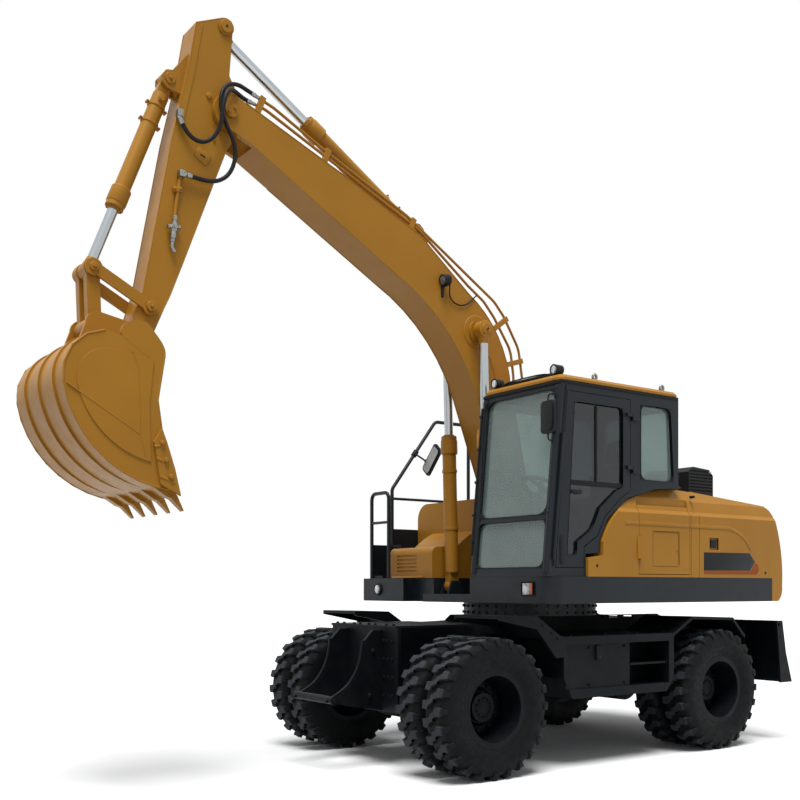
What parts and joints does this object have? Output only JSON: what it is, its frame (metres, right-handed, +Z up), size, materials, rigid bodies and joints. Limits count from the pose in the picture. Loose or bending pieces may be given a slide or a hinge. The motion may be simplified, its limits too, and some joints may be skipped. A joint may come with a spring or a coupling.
{
  "type": "wheeled excavator",
  "caption": "Wheeled excavator with a slewing cab deck, gooseneck boom, arm and toothed bucket on hydraulic cylinders, twin lugged tyres and a rear dozer blade.",
  "frame": {"origin": "on the ground under the middle of the whole machine", "axes": "+X forward towards the steered axle and the bucket, +Y to the left (cab) side, +Z up"},
  "size_m": [6.4907, 2.5149, 5.465],
  "materials": {
    "yellow_paint": "semi-gloss enamel",
    "dark_paint": "satin enamel",
    "tyre": "moulded rubber",
    "chrome": "hard chrome plate",
    "glass": "tinted safety glass",
    "seat_fabric": "woven cloth",
    "plastic": "textured moulding",
    "steel": "dark cast steel"
  },
  "bodies": {
    "chassis": {"chassis_frame": "dark_paint", "front_bracket": "dark_paint", "slew_ring": "steel", "front_axle": "dark_paint", "rear_axle": "dark_paint", "drive_shafts": "dark_paint", "side_boxes": "dark_paint", "front_fenders": "dark_paint", "rear_fenders": "dark_paint"},
    "knuckle_left": {"knuckle_left": "dark_paint"},
    "knuckle_right": {"knuckle_right": "dark_paint"},
    "steering_rod": {"steering_rod": "chrome"},
    "wheels_front_left": {"tyres_front_left": "tyre", "rims_front_left": "dark_paint"},
    "wheels_front_right": {"tyres_front_right": "tyre", "rims_front_right": "dark_paint"},
    "wheels_rear_left": {"tyres_rear_left": "tyre", "rims_rear_left": "dark_paint"},
    "wheels_rear_right": {"tyres_rear_right": "tyre", "rims_rear_right": "dark_paint"},
    "blade": {"blade": "dark_paint"},
    "blade_barrels": {"blade_barrels": "yellow_paint"},
    "blade_rods": {"blade_rods": "chrome"},
    "upper": {"deck": "dark_paint", "counterweight": "yellow_paint", "hood": "yellow_paint", "engine": "steel", "right_body": "yellow_paint", "step_rail": "dark_paint", "handrail": "dark_paint", "mirrors": "dark_paint", "lamps": "plastic", "cab_frame": "dark_paint", "cab_roof": "yellow_paint", "cab_fittings": "dark_paint", "cab_glass": "glass", "seat": "seat_fabric", "controls": "plastic"},
    "hood_lid": {"hood_lid": "yellow_paint", "hood_grille": "dark_paint"},
    "service_door": {"service_door": "yellow_paint"},
    "cab_door": {"cab_door": "dark_paint", "cab_door_glass": "glass"},
    "boom": {"boom": "yellow_paint", "boom_pipes": "yellow_paint", "boom_lamp": "plastic", "hose_upper": "plastic", "hose_lower": "plastic"},
    "boom_barrels": {"boom_barrels": "yellow_paint"},
    "boom_rods": {"boom_rods": "chrome"},
    "arm": {"arm": "yellow_paint", "arm_fittings": "chrome"},
    "arm_barrel": {"arm_barrel": "yellow_paint"},
    "arm_rod": {"arm_rod": "chrome"},
    "guide_links": {"guide_links": "yellow_paint"},
    "bucket_link": {"bucket_link": "yellow_paint"},
    "bucket": {"bucket": "yellow_paint"},
    "bucket_barrel": {"bucket_barrel": "yellow_paint"},
    "bucket_rod": {"bucket_rod": "chrome"}
  },
  "joints": [
    {"name": "slew", "type": "hinge", "parent": "chassis", "child": "upper", "pos_m": [-1.0925, 0, 1.268], "axis": [0, 0, 1], "continuous": true},
    {"name": "boom_lift", "type": "hinge", "parent": "upper", "child": "boom", "pos_m": [-0.9425, 0, 1.8], "axis": [0, -1, 0], "range_deg": [-60, 12]},
    {"name": "boom_barrel_tilt", "type": "hinge", "parent": "upper", "child": "boom_barrels", "pos_m": [-0.4065, 0, 1.406], "axis": [0, -1, 0], "range_deg": [-56.58, 12.12]},
    {"name": "boom_rod_slide", "type": "slide", "parent": "boom_barrels", "child": "boom_rods", "axis": [0.0276, 0, 0.9996], "range_m": [-0.6524, 0.1345]},
    {"name": "arm_swing", "type": "hinge", "parent": "boom", "child": "arm", "pos_m": [1.9275, 0, 4.79], "axis": [0, 1, 0], "range_deg": [-60, 30], "deforming": ["hose_upper", "hose_lower"]},
    {"name": "arm_barrel_tilt", "type": "hinge", "parent": "boom", "child": "arm_barrel", "pos_m": [0.2075, 0, 4.3], "axis": [0, 1, 0], "range_deg": [-7.51, 4.25]},
    {"name": "arm_rod_slide", "type": "slide", "parent": "arm_barrel", "child": "arm_rod", "axis": [0.8453, 0, 0.5344], "range_m": [-0.5716, 0.2883]},
    {"name": "bucket_curl", "type": "hinge", "parent": "arm", "child": "bucket", "pos_m": [2.5975, 0, 3.075], "axis": [0, 1, 0], "range_deg": [-45, 90]},
    {"name": "guide_swing", "type": "hinge", "parent": "arm", "child": "guide_links", "pos_m": [2.5175, 0, 3.305], "axis": [0, 1, 0], "range_deg": [-32.85, 64.69]},
    {"name": "link_swing", "type": "hinge", "parent": "guide_links", "child": "bucket_link", "pos_m": [2.9115, 0, 3.509], "axis": [0, 1, 0], "range_deg": [-34.84, 17.92]},
    {"name": "bucket_barrel_tilt", "type": "hinge", "parent": "arm", "child": "bucket_barrel", "pos_m": [2.3475, 0, 4.94], "axis": [0, 1, 0], "range_deg": [-2.26, 3.52]},
    {"name": "bucket_rod_slide", "type": "slide", "parent": "bucket_barrel", "child": "bucket_rod", "axis": [0.3667, 0, -0.9303], "range_m": [-0.2252, 0.4453]},
    {"name": "blade_lift", "type": "hinge", "parent": "chassis", "child": "blade", "pos_m": [-2.6525, 0, 0.56], "axis": [0, -1, 0], "range_deg": [0, 45]},
    {"name": "blade_barrel_tilt", "type": "hinge", "parent": "chassis", "child": "blade_barrels", "pos_m": [-2.7225, 0, 0.94], "axis": [0, -1, 0], "range_deg": [-1, 19.43]},
    {"name": "blade_rod_slide", "type": "slide", "parent": "blade_barrels", "child": "blade_rods", "axis": [-0.6402, 0, -0.7682], "range_m": [-0.005, 0.2104]},
    {"name": "steer_left", "type": "hinge", "parent": "chassis", "child": "knuckle_left", "pos_m": [0.3575, 0.74, 0.515], "axis": [0, 0, 1], "range_deg": [-28, 28]},
    {"name": "steer_right", "type": "hinge", "parent": "chassis", "child": "knuckle_right", "pos_m": [0.3575, -0.74, 0.515], "axis": [0, 0, 1], "range_deg": [-29, 29]},
    {"name": "steering_slide", "type": "slide", "parent": "chassis", "child": "steering_rod", "axis": [0, 1, 0], "range_m": [-0.07, 0.07]},
    {"name": "wheels_front_left_spin", "type": "hinge", "parent": "knuckle_left", "child": "wheels_front_left", "pos_m": [0.3575, 0.74, 0.515], "axis": [0, 1, 0], "continuous": true},
    {"name": "wheels_front_right_spin", "type": "hinge", "parent": "knuckle_right", "child": "wheels_front_right", "pos_m": [0.3575, -0.74, 0.515], "axis": [0, 1, 0], "continuous": true},
    {"name": "wheels_rear_left_spin", "type": "hinge", "parent": "chassis", "child": "wheels_rear_left", "pos_m": [-2.1875, 0.74, 0.515], "axis": [0, 1, 0], "continuous": true},
    {"name": "wheels_rear_right_spin", "type": "hinge", "parent": "chassis", "child": "wheels_rear_right", "pos_m": [-2.1875, -0.74, 0.515], "axis": [0, 1, 0], "continuous": true},
    {"name": "cab_door_swing", "type": "hinge", "parent": "upper", "child": "cab_door", "pos_m": [-1.0725, 1.238, 2.3], "axis": [0, 0, 1], "range_deg": [0, 90]},
    {"name": "hood_lid_lift", "type": "hinge", "parent": "upper", "child": "hood_lid", "pos_m": [-2.8565, 0, 2.144], "axis": [0, -1, 0], "range_deg": [0, 55]},
    {"name": "service_door_swing", "type": "hinge", "parent": "upper", "child": "service_door", "pos_m": [-1.1285, 1.245, 1.62], "axis": [0, 0, -1], "range_deg": [0, 90]}
  ],
  "couplings": [
    {"joint": "boom_barrel_tilt", "follows": "boom_lift", "ratio": 0.92637},
    {"joint": "boom_rod_slide", "follows": "boom_lift", "m_per_rad": 0.61819},
    {"joint": "arm_barrel_tilt", "follows": "arm_swing", "ratio": 0.10847},
    {"joint": "arm_rod_slide", "follows": "arm_swing", "m_per_rad": 0.54102},
    {"joint": "guide_swing", "follows": "bucket_curl", "ratio": 0.70771},
    {"joint": "link_swing", "follows": "bucket_curl", "ratio": -0.37603},
    {"joint": "bucket_barrel_tilt", "follows": "bucket_curl", "ratio": 0.02799},
    {"joint": "bucket_rod_slide", "follows": "bucket_curl", "m_per_rad": 0.28031},
    {"joint": "blade_barrel_tilt", "follows": "blade_lift", "ratio": 0.40957},
    {"joint": "blade_rod_slide", "follows": "blade_lift", "m_per_rad": 0.26152},
    {"joint": "steer_right", "follows": "steer_left", "ratio": 1},
    {"joint": "steering_slide", "follows": "steer_left", "m_per_rad": -0.12441}
  ]
}
